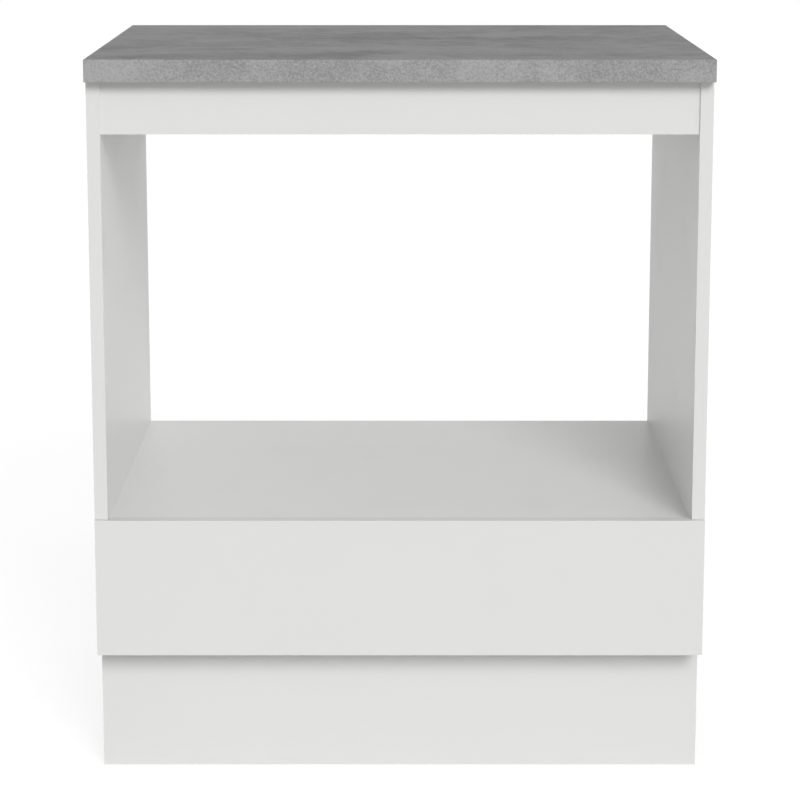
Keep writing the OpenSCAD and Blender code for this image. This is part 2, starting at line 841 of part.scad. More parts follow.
module drawer_back() {
    color(white_board) difference() {
        block([-box_inner_x, drawer_back_y, tray_z1 + fit_clear], [box_inner_x, box_back_y, box_z1]);
        box_dowel_rooms();
    }
}

module drawer_bottom() {
    reach = tray_groove - panel_slack / 2;
    color(white_board)
        block([-box_inner_x - reach, inner_front_back_y - reach, tray_z0],
              [box_inner_x + reach, box_back_y, tray_z1]);
}

module drawer_front_screws() {
    color(zinc) front_screw_places()
        pan_screw(front_screw_r, box_t + front_screw_in_front, screw_head_r, screw_head_h);
}

module drawer_box_dowels() {
    color(beech) box_dowel_places() rod(box_dowel_d / 2, box_dowel_in_end + box_dowel_in_side);
}

module drawer_bumpers() {
    color(clear_rubber) both_sides() for (z = [front_z0 + bumper_inset, front_z1 - bumper_inset])
        translate([inner_x + board_t / 2, lip_back_y, z]) rotate([-90, 0, 0])
            cylinder(r = bumper_r, h = lip_gap);
}

// Slides: profiles are drawn with u to the right and v up, then run along the slide

module slide_run(y0, l) {
    translate([inner_x, y0 + l, slide_z]) mirror([1, 0, 0]) rotate([90, 0, 0])
        linear_extrude(l) children();
}

module above_and_below() {
    children();
    mirror([0, 1]) children();
}

module track(u, v) {
    translate([u, v]) circle(r = ball_r + ball_clear);
}

// A channel's outline: its web's outer face is at u_web and its flanges end at u_tip, with lips
module channel(u_web, u_tip, half, t, lip = 0) {
    turn_in = u_web < u_tip ? t : -t;
    upper = [[u_web, half], [u_tip, half], [u_tip, half - t - lip], [u_tip - turn_in, half - t - lip],
             [u_tip - turn_in, half - t], [u_web + turn_in, half - t]];
    lower = [for (i = [len(upper) - 1 : -1 : 0]) [upper[i][0], -upper[i][1]]];
    polygon(concat(upper, lower));
}

module cabinet_member_profile() {
    difference() {
        channel(0, outer_flange, outer_half, sheet_t, outer_lip);
        above_and_below() track(row1_u, row1_v);
    }
}

module middle_member_profile() {
    difference() {
        channel(middle_u, middle_flange_end, middle_half, sheet_t);
        above_and_below() {
            track(row1_u, row1_v);
            track(row2_u, row2_v);
        }
    }
}

module drawer_member_profile() {
    difference() {
        channel(slide_w, inner_flange_u, inner_half, sheet_t);
        above_and_below() track(row2_u, row2_v);
    }
}

module ball_places(u, v) {
    for (i = [0 : ball_count - 1]) for (s = [-1, 1])
        translate([inner_x - u, cage_y0 + cage_end + i * ball_pitch, slide_z + s * v]) children();
}

// Where the slides' screws lie, at depth u from the side panel
module slide_screw_places(u) {
    for (y = slide_screw_ys) translate([inner_x - u, y, slide_z]) children();
}

// A block given as depth from the side panel, place along the slide and height off its middle line
module slide_block(low, high) {
    block([inner_x - high[0], low[1], slide_z + low[2]], [inner_x - low[0], high[1], slide_z + high[2]]);
}

// An outline drawn along Y and Z, made t thick from depth u towards the side panel
module slide_plate(u, y, t) {
    translate([inner_x - u, y, slide_z]) rotate([90, 0, 90]) linear_extrude(t) children();
}

// The slots through the web whose face nearer the drawer is at depth u
module slide_slots(u, turn) {
    for (y = slide_slot_ys) slide_plate(u + cut, y, sheet_t + 2 * cut)
        rotate(turn) oblong(slide_slot_l, slide_slot_r);
}

module slide_cabinet_member() {
    end_y = slide_y0 + slide_l;
    color(zinc) difference() {
        union() {
            slide_run(slide_y0, slide_l) cabinet_member_profile();
            slide_block([0, end_y - sheet_t, -rear_stop_half], [outer_flange, end_y, rear_stop_half]);
            for (s = [-1, 1])
                translate([inner_x - sheet_t - boss_h, slide_y0 + boss_inset, slide_z + s * boss_v])
                    rod(boss_r, boss_h + sheet_t / 2);
        }
        slide_screw_places(sheet_t)
            sunk_screw(screw_r + fit_clear, sheet_t + cut, slide_screw_head_r + fit_clear, sheet_t);
        slide_slots(sheet_t, 0);
    }
}

// The tab at its front is bent out of the window behind it
module slide_middle_member() {
    tab_y = slide_y0 + tab_inset;
    window_y = tab_y + sheet_t;
    color(zinc) difference() {
        union() {
            slide_run(slide_y0, member_l) middle_member_profile();
            slide_block([middle_u, tab_y, -tab_half], [tab_u, window_y, tab_half]);
        }
        slide_screw_places(middle_u + sheet_t + cut) rod(access_r, sheet_t + 2 * cut);
        slide_block([middle_u - cut, window_y, -tab_half],
                    [middle_u + sheet_t + cut, window_y + tab_u - middle_u, tab_half]);
    }
}

module slide_drawer_member() {
    color(zinc) difference() {
        slide_run(slide_y0, member_l) drawer_member_profile();
        slide_screw_places(slide_w - sheet_t) rotate([0, 0, 180])
            sunk_screw(screw_r + fit_clear, sheet_t + cut, slide_screw_head_r + fit_clear, sheet_t);
        slide_slots(slide_w, 90);
        slide_plate(slide_w + cut, lever_y, sheet_t + 2 * cut) circle(r = lever_pin_r + fit_clear / 2);
    }
}

// The lever about its pivot: a thumb pad to the front, a hub, and a bowed arm with a round tip
module lever_outline() {
    tip_drop = lever_bow_r - sqrt(lever_bow_r * lever_bow_r - lever_arm_l * lever_arm_l / 4);
    circle(r = lever_hub_r);
    translate([-lever_pad_l, -lever_pad_half]) square([lever_pad_l, 2 * lever_pad_half]);
    translate([-lever_pad_l, 0]) circle(r = lever_pad_half);
    intersection() {
        translate([lever_arm_l / 2, -lever_bow_r]) difference() {
            circle(r = lever_bow_r + lever_arm_w / 2);
            circle(r = lever_bow_r - lever_arm_w / 2);
        }
        translate([0, -lever_arm_l / 2]) square([lever_arm_l, lever_arm_l]);
    }
    translate([lever_arm_l, -tip_drop]) circle(r = lever_tip_r);
}

// The lever lies on the drawer member's web, with its pin in the web's hole
module slide_release_lever() {
    slide_plate(lever_u, lever_y, lever_t) lever_outline();
    slide_plate(lever_u, lever_y, lever_t + lever_boss_h) circle(r = lever_boss_r);
    slide_plate(slide_w, lever_y, sheet_t + lever_t / 2) circle(r = lever_pin_r);
}

module slide_outer_cage() {
    color(zinc) difference() {
        slide_run(cage_y0, cage_l) channel(cage1_u, cage1_end, row1_v + cage_t / 2, cage_t);
        ball_places(row1_u, row1_v) cylinder(r = ball_r + pocket_clear, h = 2 * cage_t, center = true);
    }
}

module slide_inner_cage() {
    color(zinc) difference() {
        slide_run(cage_y0, cage_l) channel(cage2_u, cage2_end, row2_v + cage_t / 2, cage_t);
        ball_places(row2_u, row2_v) cylinder(r = ball_r + pocket_clear, h = 2 * cage_t, center = true);
    }
}

module slide_outer_balls() {
    color(zinc) ball_places(row1_u, row1_v) sphere(r = ball_r, $fn = 24);
}

module slide_inner_balls() {
    color(zinc) ball_places(row2_u, row2_v) sphere(r = ball_r, $fn = 24);
}

module slide_cabinet_screws() {
    color(zinc) both_sides() slide_screw_places(sheet_t)
        sunk_screw(screw_r, slide_screw_l, slide_screw_head_r, sheet_t);
}

module slide_drawer_screws() {
    color(zinc) both_sides() slide_screw_places(slide_w - sheet_t) rotate([0, 0, 180])
        sunk_screw(screw_r, drawer_screw_l, slide_screw_head_r, sheet_t);
}

module slide_release_levers() {
    color(black_plastic) both_sides() slide_release_lever();
}

module left_side() {
    mirror([1, 0, 0]) children();
}

worktop_core();
worktop_laminate();
worktop_front_edging();
left_side() worktop_side_edging();  // worktop_left_edging
worktop_side_edging();  // worktop_right_edging
left_side() side_panel();  // side_panel_left
side_panel();  // side_panel_right
left_side() side_edging();  // side_edging_left
side_edging();  // side_edging_right
niche_floor();
niche_floor_edging();
bottom_board();
top_front_rail();
top_back_rail();
lower_back_panel();
cam_locks();
cam_bolts();
carcass_dowels();
cam_caps();
worktop_brackets();
worktop_screws();
translate([-leg_x, leg_front_y, 0]) leg();  // leg_front_left
translate([leg_x, leg_front_y, 0]) leg();  // leg_front_right
translate([-leg_x, leg_back_y, 0]) leg();  // leg_back_left
translate([leg_x, leg_back_y, 0]) leg();  // leg_back_right
translate([-leg_x, leg_front_y, 0]) foot();  // foot_front_left
translate([leg_x, leg_front_y, 0]) foot();  // foot_front_right
translate([-leg_x, leg_back_y, 0]) foot();  // foot_back_left
translate([leg_x, leg_back_y, 0]) foot();  // foot_back_right
leg_screws();
plinth_board();
left_side() plinth_clip();  // plinth_clip_left
plinth_clip();  // plinth_clip_right
plinth_clip_screws();
drawer_front();
drawer_inner_front();
left_side() drawer_side();  // drawer_side_left
drawer_side();  // drawer_side_right
drawer_back();
drawer_bottom();
drawer_front_screws();
drawer_box_dowels();
drawer_bumpers();
left_side() slide_cabinet_member();  // slide_cabinet_member_left
slide_cabinet_member();  // slide_cabinet_member_right
left_side() slide_middle_member();  // slide_middle_member_left
slide_middle_member();  // slide_middle_member_right
left_side() slide_drawer_member();  // slide_drawer_member_left
slide_drawer_member();  // slide_drawer_member_right
left_side() slide_outer_cage();  // slide_outer_cage_left
slide_outer_cage();  // slide_outer_cage_right
left_side() slide_inner_cage();  // slide_inner_cage_left
slide_inner_cage();  // slide_inner_cage_right
left_side() slide_outer_balls();  // slide_outer_balls_left
slide_outer_balls();  // slide_outer_balls_right
left_side() slide_inner_balls();  // slide_inner_balls_left
slide_inner_balls();  // slide_inner_balls_right
slide_cabinet_screws();
slide_drawer_screws();
slide_release_levers();
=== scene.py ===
"""The looks of a kitchen base cabinet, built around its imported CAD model. Lengths are in metres."""
import math

import bpy
import numpy as np
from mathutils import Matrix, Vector


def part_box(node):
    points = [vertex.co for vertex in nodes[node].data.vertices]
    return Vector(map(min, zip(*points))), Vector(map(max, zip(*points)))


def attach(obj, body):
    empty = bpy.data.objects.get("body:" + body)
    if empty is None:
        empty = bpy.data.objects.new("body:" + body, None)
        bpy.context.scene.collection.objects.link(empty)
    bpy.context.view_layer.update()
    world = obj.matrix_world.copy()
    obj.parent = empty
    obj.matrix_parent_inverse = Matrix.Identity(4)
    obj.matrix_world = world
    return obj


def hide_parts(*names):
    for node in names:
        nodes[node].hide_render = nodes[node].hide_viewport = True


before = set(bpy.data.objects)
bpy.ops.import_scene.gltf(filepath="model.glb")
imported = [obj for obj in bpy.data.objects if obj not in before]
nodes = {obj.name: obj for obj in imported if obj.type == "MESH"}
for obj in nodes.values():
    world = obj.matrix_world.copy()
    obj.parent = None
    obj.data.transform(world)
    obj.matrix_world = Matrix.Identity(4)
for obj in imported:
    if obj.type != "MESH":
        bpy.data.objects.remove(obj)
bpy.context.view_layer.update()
MM = 0.001

# Camera: the photograph's eye point. The photograph's parallel uprights come from a strongly shifted lens,
# which would cut the other views short, so this camera is tilted down instead and hardly shifted.
PHOTO_SIDE = 800
FOCAL_PX = 2713.7
SENSOR_MM = 36.0
EYE = (-0.0054, -3.294, 1.0728)
TILT_DOWN = math.radians(10.95)
SHIFT = (0.0062, -0.04)

# Light. Its levels are on a scale where 1 shows a colour as it is written.
KEY_LEVEL = 0.52
KEY_DIRECTION = (0.26, -1.0, 0.51)
KEY_SPREAD = math.radians(22)
FILL_EVEN = 0.37
FILL_RIGHT = 1.05
FILL_BACK = 0.5
FILL_FRONT = 0.85
# Two bands of the surroundings, each by the middle and the width of its rise: 0 is the horizon, 1 is overhead
LOW_BAND = (0.05, 0.2)
RAISED_BAND = (0.5, 0.2)

# Floor: FLOOR_WHITE is its colour for the light it throws back. Cameras and mirrors see FLOOR_SHADE and a glow.
FLOOR_SIDE = 24.0
FLOOR_WHITE = (0.66, 0.66, 0.65)
FLOOR_SHADE = 0.34
FLOOR_GLOW = 0.79

# Colours, linear
# The carcass white is lighter than the front white: painted light that makes up for the dimmer light inside the
# niche
CARCASS_WHITE_WITH_PAINTED_LIGHT = (0.822, 0.822, 0.812)
FRONT_WHITE = (0.719, 0.719, 0.710)
CONCRETE_TOP = (0.274, 0.274, 0.274)
CONCRETE_EDGE = (0.308, 0.308, 0.309)
PAPER_DARK = (0.50, 0.50, 0.495)
PAPER_LIGHT = (0.60, 0.60, 0.592)
CHIP_TAN = (0.46, 0.33, 0.195)
CHIP_PALE = (0.68, 0.53, 0.35)
CHIP_BARK = (0.30, 0.185, 0.10)
CHIP_FIBRE = (0.47, 0.35, 0.22)
CHIP_JOINT_AND_HOLLOW_SHADE = (0.15, 0.09, 0.05)
HARDBOARD_DARK = (0.15, 0.088, 0.048)
HARDBOARD_LIGHT = (0.39, 0.255, 0.15)
BEECH_DARK = (0.60, 0.42, 0.25)
BEECH_LIGHT = (0.72, 0.54, 0.34)
BEECH_RAY = (0.40, 0.25, 0.13)
ROLLED_ZINC = (0.66, 0.668, 0.688)
SCREW_ZINC = (0.64, 0.65, 0.66)
CAST_ZINC = (0.50, 0.50, 0.51)
GREASE = (0.24, 0.21, 0.16)
BALL_BRIGHT = (0.62, 0.63, 0.64)
BALL_GREASY = (0.44, 0.42, 0.38)
BLACK_PLASTIC = (0.022, 0.022, 0.024)
CAP_PLASTIC = (0.72, 0.72, 0.70)
PLASTIC_SCUFF = (0.28, 0.27, 0.26)
RUBBER_CLOUDY = (0.82, 0.83, 0.80)
RUBBER_CLEAR = (0.93, 0.93, 0.91)
DUST_ON_WORKTOP = (0.6, 0.59, 0.57)
DUST_ON_BOARD = (0.62, 0.61, 0.58)
DUST_ON_STEEL = (0.5, 0.49, 0.46)
DUST_ON_PLASTIC = (0.42, 0.40, 0.37)

# Boards: the thickness of the white coat and of the worktop's paper, and the width of the step to the core
COAT = 0.25 * MM
PAPER = 0.3 * MM
COAT_STEP = 0.05 * MM
CHIPS_ALONG = 230.0
CHIPS_ACROSS = 900.0
GREASE_FROM = 10 * MM
GREASE_FULL = 14 * MM

# Sockets of Blender's Mix node, by number because their names repeat: the factor and the two parts, the result
COLOUR_SOCKETS = (0, 6, 7)
COLOUR_RESULT = 2
NUMBER_SOCKETS = (0, 2, 3)
NUMBER_RESULT = 0


class Shading:
    """Adds nodes to one shader tree. An input is a number, a tuple or another node's output."""

    def __init__(self, tree):
        self.tree = tree

    def feed(self, socket, value):
        if isinstance(value, bpy.types.NodeSocket):
            self.tree.links.new(value, socket)
        elif socket.type == "RGBA" and len(value) == 3:
            socket.default_value = (*value, 1.0)
        else:
            socket.default_value = value

    def add(self, kind, inputs=None, **settings):
        node = self.tree.nodes.new(kind)
        for name, value in settings.items():
            setattr(node, name, value)
        for name, value in (inputs or {}).items():
            self.feed(node.inputs[name], value)
        return node

    def math(self, operation, first, second=0.0):
        return self.add("ShaderNodeMath", {0: first, 1: second}, operation=operation).outputs[0]

    def plus(self, first, second):
        return self.math("ADD", first, second)

    def minus(self, first, second):
        return self.math("SUBTRACT", first, second)

    def times(self, first, second):
        return self.math("MULTIPLY", first, second)

    def vector(self, operation, first, second):
        return self.add("ShaderNodeVectorMath", {0: first, 1: second}, operation=operation).outputs[0]

    def scaled(self, place, scale):
        """The place with its own scale along each axis."""
        return self.vector("MULTIPLY", place, scale)

    def mix(self, kind, sockets, parts):
        node = self.add("ShaderNodeMix", data_type=kind)
        for socket, part in zip(sockets, parts):
            self.feed(node.inputs[socket], part)
        return node.outputs

    def blend(self, factor, first, second):
        """Mixes two colours."""
        return self.mix("RGBA", COLOUR_SOCKETS, (factor, first, second))[COLOUR_RESULT]

    def between(self, factor, first, second):
        """Mixes two numbers."""
        return self.mix("FLOAT", NUMBER_SOCKETS, (factor, first, second))[NUMBER_RESULT]

    def spread(self, value, low, high, to_low=0.0, to_high=1.0):
        """Turns low to high into to_low to to_high, with soft ends."""
        sockets = {"Value": value, "From Min": low, "From Max": high, "To Min": to_low, "To Max": to_high}
        return self.add("ShaderNodeMapRange", sockets, interpolation_type="SMOOTHSTEP").outputs[0]

    def noise(self, place, scale, detail=2.0, roughness=0.5):
        sockets = {"Vector": place, "Scale": scale, "Detail": detail, "Roughness": roughness}
        return self.add("ShaderNodeTexNoise", sockets).outputs["Fac"]

    def warped(self, place, scale, detail, reach):
        """The place pushed about by a noise, as far as reach says along each axis."""
        push = self.add("ShaderNodeTexNoise", {"Vector": place, "Scale": scale, "Detail": detail})
        return self.vector("ADD", place, self.scaled(push.outputs["Color"], reach))

    def cells(self, place, scale, feature="F1"):
        return self.add("ShaderNodeTexVoronoi", {"Vector": place, "Scale": scale}, feature=feature).outputs

    def place(self):
        """The surface's own place, in metres in the cabinet's frame."""
        return self.add("ShaderNodeTexCoord").outputs["Object"]

    def axes(self, vector):
        return self.add("ShaderNodeSeparateXYZ", {0: vector}).outputs

    def channels(self, colour):
        return self.add("ShaderNodeSeparateColor", {0: colour}).outputs

    def use(self, group, inputs):
        node = self.add("ShaderNodeGroup", node_tree=group)
        for name, value in inputs.items():
            self.feed(node.inputs[name], value)
        return node.outputs


def shader_group(name, inputs, outputs):
    """A shader node group with these sockets, as the group, its Shading, its inputs and its output sockets."""
    group = bpy.data.node_groups.new(name, "ShaderNodeTree")
    kinds = {"value": "NodeSocketFloat", "vector": "NodeSocketVector", "colour": "NodeSocketColor"}
    for label, kind in inputs.items():
        group.interface.new_socket(label, in_out="INPUT", socket_type=kinds[kind])
    for label, kind in outputs.items():
        group.interface.new_socket(label, in_out="OUTPUT", socket_type=kinds[kind])
    shading = Shading(group)
    return group, shading, shading.add("NodeGroupInput").outputs, shading.add("NodeGroupOutput").inputs


def concrete_group():
    """Cast concrete as a printed decor: wide clouds and drifts along the board, mottled by Mottle from 0 to 1,
    with a fine grain and small pores. Clouds and Grain are the scales of the widest and the finest pattern."""
    group, s, given, out = shader_group(
        "concrete_decor",
        {"Place": "vector", "Clouds": "value", "Mottle": "value", "Grain": "value"},
        {"Tone": "value", "Pores": "value", "Height": "value"},
    )
    place = given["Place"]
    bent = s.warped(place, scale=9.0, detail=2.0, reach=(0.05, 0.03, 0.03))
    drawn_out = s.scaled(bent, (0.45, 1.0, 1.0))
    drawn_little = s.scaled(bent, (0.7, 1.0, 1.0))
    clouds = s.noise(bent, given["Clouds"], detail=5.0, roughness=0.6)
    drifts = s.noise(drawn_out, s.times(given["Clouds"], 0.5), detail=3.0, roughness=0.55)
    flecks = s.noise(drawn_little, s.times(given["Clouds"], 5.0), detail=5.0, roughness=0.7)
    grain = s.noise(place, given["Grain"], detail=2.0, roughness=0.65)
    cells = s.cells(place, s.times(given["Grain"], 0.25))
    pits = s.spread(cells["Distance"], 0.10, 0.22, 1.0, 0.0)
    chosen = s.spread(s.channels(cells["Color"])[0], 0.80, 0.86)
    pores = s.times(pits, chosen)
    broad = s.between(given["Mottle"], s.between(0.5, clouds, drifts), flecks)
    s.feed(out["Tone"], s.between(0.28, broad, grain))
    s.feed(out["Pores"], pores)
    s.feed(out["Height"], s.minus(s.times(grain, 0.3), pores))
    return group


def chipboard_group():
    """Pressed wood chips. Flatten scales the place so that the chips lie flat in the board, and Depth is
    the way in from the board's face: fine dense chips near it, coarse ones with small hollows in the core,
    whose dark colour is painted shade."""
    group, s, given, out = shader_group(
        "chipboard",
        {"Place": "vector", "Flatten": "vector", "Depth": "value"},
        {"Color": "colour", "Height": "value"},
    )
    fine_to = 1.8 * MM
    coarse_from = 4.2 * MM
    laid = s.scaled(given["Place"], given["Flatten"])
    curled = s.warped(laid, scale=0.8, detail=3.0, reach=(2.2, 2.2, 1.6))
    coarse = s.cells(curled, 1.0)["Color"]
    fine = s.cells(curled, 2.8)["Color"]
    edges = s.cells(curled, 1.0, "DISTANCE_TO_EDGE")["Distance"]
    core = s.spread(given["Depth"], fine_to, coarse_from)
    chance = s.channels(s.blend(core, fine, coarse))
    wood = s.blend(chance[0], CHIP_TAN, CHIP_PALE)
    wood = s.blend(s.spread(chance[1], 0.86, 0.97), wood, CHIP_BARK)
    fibre = s.noise(s.scaled(laid, (3.0, 3.0, 9.0)), scale=1.0, detail=3.0, roughness=0.65)
    wood = s.blend(s.times(fibre, 0.5), wood, CHIP_FIBRE)
    loose = s.spread(s.noise(laid, scale=0.55, detail=3.0, roughness=0.6), 0.52, 0.66)
    # Dark lines between the chips are their joints; the darkening in the core's hollows is painted shade
    outline = s.times(s.spread(edges, 0.0, 0.10, 1.0, 0.0), 0.22)
    hollow_shade = s.times(s.spread(edges, 0.02, 0.16, 1.0, 0.0), s.times(loose, core))
    joint_and_hollow_shade = s.math("MAXIMUM", outline, hollow_shade)
    s.feed(out["Color"], s.blend(joint_and_hollow_shade, wood, CHIP_JOINT_AND_HOLLOW_SHADE))
    rise = s.plus(s.times(chance[2], 0.5), s.times(fibre, 0.3))
    s.feed(out["Height"], s.minus(rise, joint_and_hollow_shade))
    return group


def board_face_group():
    """The pressed face of a coated board: a fine pearl, faint wide unevenness and patches dulled by hands."""
    group, s, given, out = shader_group(
        "board_face", {"Place": "vector"}, {"Tone": "value", "Roughness": "value", "Height": "value"}
    )
    place = given["Place"]
    pearl = s.noise(place, scale=1100.0, detail=2.0, roughness=0.5)
    swell = s.noise(place, scale=7.0, detail=3.0, roughness=0.5)
    hands = s.spread(s.noise(place, scale=14.0, detail=4.0, roughness=0.6), 0.52, 0.75)
    s.feed(out["Tone"], s.between(0.35, swell, pearl))
    s.feed(out["Roughness"], s.plus(s.times(hands, 0.08), s.times(pearl, 0.06)))
    s.feed(out["Height"], s.plus(s.times(pearl, 0.02), s.times(swell, 0.05)))
    return group


def coat_depth_group():
    """How far a point lies under the nearest coated face of a board that fills the box from Low to High.
    Bare Low and Bare High hold 1 for an axis whose face has no coat."""
    group, s, given, out = shader_group(
        "coat_depth",
        {"Place": "vector", "Low": "vector", "High": "vector", "Bare Low": "vector", "Bare High": "vector"},
        {"Depth": "value"},
    )
    above = s.vector("ADD", s.vector("SUBTRACT", given["Place"], given["Low"]), given["Bare Low"])
    below = s.vector("ADD", s.vector("SUBTRACT", given["High"], given["Place"]), given["Bare High"])
    ways = s.axes(s.vector("MINIMUM", above, below))
    s.feed(out["Depth"], s.math("MINIMUM", ways[0], s.math("MINIMUM", ways[1], ways[2])))
    return group


def dust_group():
    """Dust that has settled on faces that look up, thicker in patches."""
    group, s, given, out = shader_group(
        "settled_dust", {"Place": "vector", "Amount": "value"}, {"Mask": "value"}
    )
    place = given["Place"]
    up = s.axes(s.add("ShaderNodeNewGeometry").outputs["Normal"])[2]
    patches = s.spread(s.noise(place, scale=30.0, detail=4.0, roughness=0.65), 0.25, 0.75, 0.35, 1.0)
    motes = s.spread(s.noise(place, scale=1500.0, detail=1.0, roughness=0.5), 0.35, 0.65, 0.5, 1.0)
    lying = s.times(s.spread(up, 0.3, 0.95), given["Amount"])
    s.feed(out["Mask"], s.times(lying, s.times(patches, motes)))
    return group


def zinc_group():
    """Zinc plate on rolled steel: streaks along the rolling direction, dull clouds and fine scratches."""
    group, s, given, out = shader_group(
        "zinc_plate",
        {"Place": "vector", "Rolled": "vector"},
        {"Tone": "value", "Roughness": "value", "Height": "value"},
    )
    drawn = s.scaled(given["Place"], given["Rolled"])
    streaks = s.noise(drawn, scale=1.0, detail=3.0, roughness=0.6)
    clouds = s.noise(given["Place"], scale=90.0, detail=3.0, roughness=0.6)
    scratch = s.spread(s.noise(s.scaled(drawn, (3.0, 3.0, 3.0)), scale=1.0, detail=1.0), 0.68, 0.72)
    s.feed(out["Tone"], s.between(0.5, streaks, clouds))
    dull = s.plus(s.times(clouds, 0.22), s.times(streaks, 0.12))
    s.feed(out["Roughness"], s.plus(dull, s.times(scratch, 0.1)))
    s.feed(out["Height"], s.minus(s.times(streaks, 0.4), scratch))
    return group


def moulded_group():
    """Moulded plastic: a spark-eroded grain, flow clouds and rubbed patches."""
    group, s, given, out = shader_group(
        "moulded_plastic", {"Place": "vector"}, {"Tone": "value", "Roughness": "value", "Height": "value"}
    )
    place = given["Place"]
    grain = s.noise(place, scale=1800.0, detail=1.0, roughness=0.5)
    flow = s.noise(place, scale=45.0, detail=3.0, roughness=0.55)
    rubbed = s.spread(s.noise(place, scale=120.0, detail=4.0, roughness=0.7), 0.55, 0.72)
    s.feed(out["Tone"], s.between(0.4, flow, rubbed))
    s.feed(out["Roughness"], s.minus(s.times(grain, 0.12), s.times(rubbed, 0.1)))
    s.feed(out["Height"], s.plus(s.times(grain, 0.05), s.times(flow, 0.1)))
    return group


CONCRETE = concrete_group()
CHIPBOARD = chipboard_group()
BOARD_FACE = board_face_group()
COAT_DEPTH = coat_depth_group()
DUST = dust_group()
ZINC = zinc_group()
MOULDED = moulded_group()


def new_material(name, **constants):
    """A material with a Principled shader. The constants are set on the shader's own sockets."""
    made = bpy.data.materials.new(name)
    made.use_nodes = True
    shading = Shading(made.node_tree)
    shader = made.node_tree.nodes["Principled BSDF"]
    for socket, value in constants.items():
        shader.inputs[socket.replace("_", " ")].default_value = value
    return made, shading, shader.inputs


def raise_surface(s, shader, height, depth):
    """Lets a height from 0 to 1 stand up to depth metres proud of the surface."""
    bump = s.add("ShaderNodeBump", {"Height": height, "Distance": depth, "Strength": 1.0})
    s.feed(shader["Normal"], bump.outputs["Normal"])


def tinted(colour, by):
    """The colour made lighter or darker."""
    return tuple(part * by for part in colour)


def shades(s, tone, colour, darkest, lightest):
    """The colour, from darkest to lightest times itself as the tone goes from 0 to 1."""
    return s.blend(tone, tinted(colour, darkest), tinted(colour, lightest))


def dusted(s, place, amount, colour, dust_colour):
    """The colour under settled dust, and the dust's mask."""
    mask = s.use(DUST, {"Place": place, "Amount": amount})["Mask"]
    return s.blend(mask, colour, dust_colour), mask


def concrete_laminate():
    """The worktop's sheet: mid grey with wide clouds, drifts and mottling."""
    made, s, shader = new_material("concrete_laminate", Specular_IOR_Level=0.01)
    place = s.place()
    decor = s.use(CONCRETE, {"Place": place, "Clouds": 12.0, "Mottle": 0.35, "Grain": 420.0})
    colour = shades(s, s.spread(decor["Tone"], 0.38, 0.56), CONCRETE_TOP, 0.72, 1.15)
    colour = s.blend(s.times(decor["Pores"], 0.35), colour, tinted(CONCRETE_TOP, 0.55))
    s.feed(shader["Base Color"], dusted(s, place, 0.03, colour, DUST_ON_WORKTOP)[0])
    s.feed(shader["Roughness"], s.spread(decor["Tone"], 0.2, 0.8, 0.62, 0.48))
    raise_surface(s, shader, decor["Height"], 0.08 * MM)
    return made


def concrete_edging():
    """The worktop's edge strips: the same decor printed finer and lighter, with blotches."""
    made, s, shader = new_material("concrete_edging", Specular_IOR_Level=0.4)
    place = s.place()
    decor = s.use(CONCRETE, {"Place": place, "Clouds": 17.0, "Mottle": 0.0, "Grain": 380.0})
    speckle = s.noise(place, scale=470.0, detail=1.0, roughness=0.5)
    blotch = s.spread(decor["Tone"], 0.40, 0.58)
    speckle_share = s.between(blotch, 0.62, 0.38)
    tone = s.spread(s.between(speckle_share, decor["Tone"], speckle), 0.33, 0.64)
    colour = shades(s, s.between(0.3, tone, blotch), CONCRETE_EDGE, 0.72, 1.22)
    colour = s.blend(s.times(decor["Pores"], 0.25), colour, tinted(CONCRETE_EDGE, 0.6))
    s.feed(shader["Base Color"], colour)
    s.feed(shader["Roughness"], s.spread(decor["Tone"], 0.2, 0.8, 0.60, 0.50))
    raise_surface(s, shader, decor["Height"], 0.05 * MM)
    return made


def corners(node):
    low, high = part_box(node)
    return np.array(low), np.array(high)


def coat_depth(s, place, node, bare):
    """How deep a point of the node lies under its coated faces. bare names the faces without a coat, each by
    its axis and - or +, such as y+."""
    low, high = corners(node)
    bare_low = tuple(float(axis + "-" in bare) for axis in "xyz")
    bare_high = tuple(float(axis + "+" in bare) for axis in "xyz")
    box = {"Low": tuple(low), "High": tuple(high), "Bare Low": bare_low, "Bare High": bare_high}
    return s.use(COAT_DEPTH, {"Place": place, **box})["Depth"]


def chipboard(s, place, thin_axis, depth):
    """Chips that lie flat in a board whose thickness runs along thin_axis."""
    flatten = [CHIPS_ALONG] * 3
    flatten[thin_axis] = CHIPS_ACROSS
    wood = s.use(CHIPBOARD, {"Place": place, "Flatten": tuple(flatten), "Depth": depth})
    return wood["Color"], wood["Height"]


def hardboard(s, place):
    """Pressed brown fibre."""
    fibre = s.noise(s.scaled(place, (1.0, 1.0, 0.4)), scale=1600.0, detail=4.0, roughness=0.7)
    pressed = s.noise(place, scale=28.0, detail=4.0, roughness=0.6)
    return s.blend(s.between(0.4, fibre, pressed), HARDBOARD_DARK, HARDBOARD_LIGHT), fibre


def layered_board(node, white, bare, chips=True):
    """A board with a white coat on its faces and a bare core where a face is cut or drilled. The core is
    chipboard, or hardboard where chips is False."""
    made, s, shader = new_material("board_" + node)
    place = s.place()
    depth = coat_depth(s, place, node, bare)
    core = s.spread(depth, COAT, COAT + COAT_STEP)
    face = s.use(BOARD_FACE, {"Place": place})
    coated = shades(s, face["Tone"], white, 0.985, 1.015)
    if chips:
        low, high = corners(node)
        inner, inner_height = chipboard(s, place, int(np.argmin(high - low)), depth)
    else:
        inner, inner_height = hardboard(s, place)
    s.feed(shader["Base Color"], dusted(s, place, 0.05, s.blend(core, coated, inner), DUST_ON_BOARD)[0])
    coat_roughness = s.plus(face["Roughness"], 0.36)
    s.feed(shader["Roughness"], s.between(core, coat_roughness, 0.88))
    height = s.between(core, s.times(face["Height"], 0.1), inner_height)
    raise_surface(s, shader, height, 0.4 * MM)
    return made


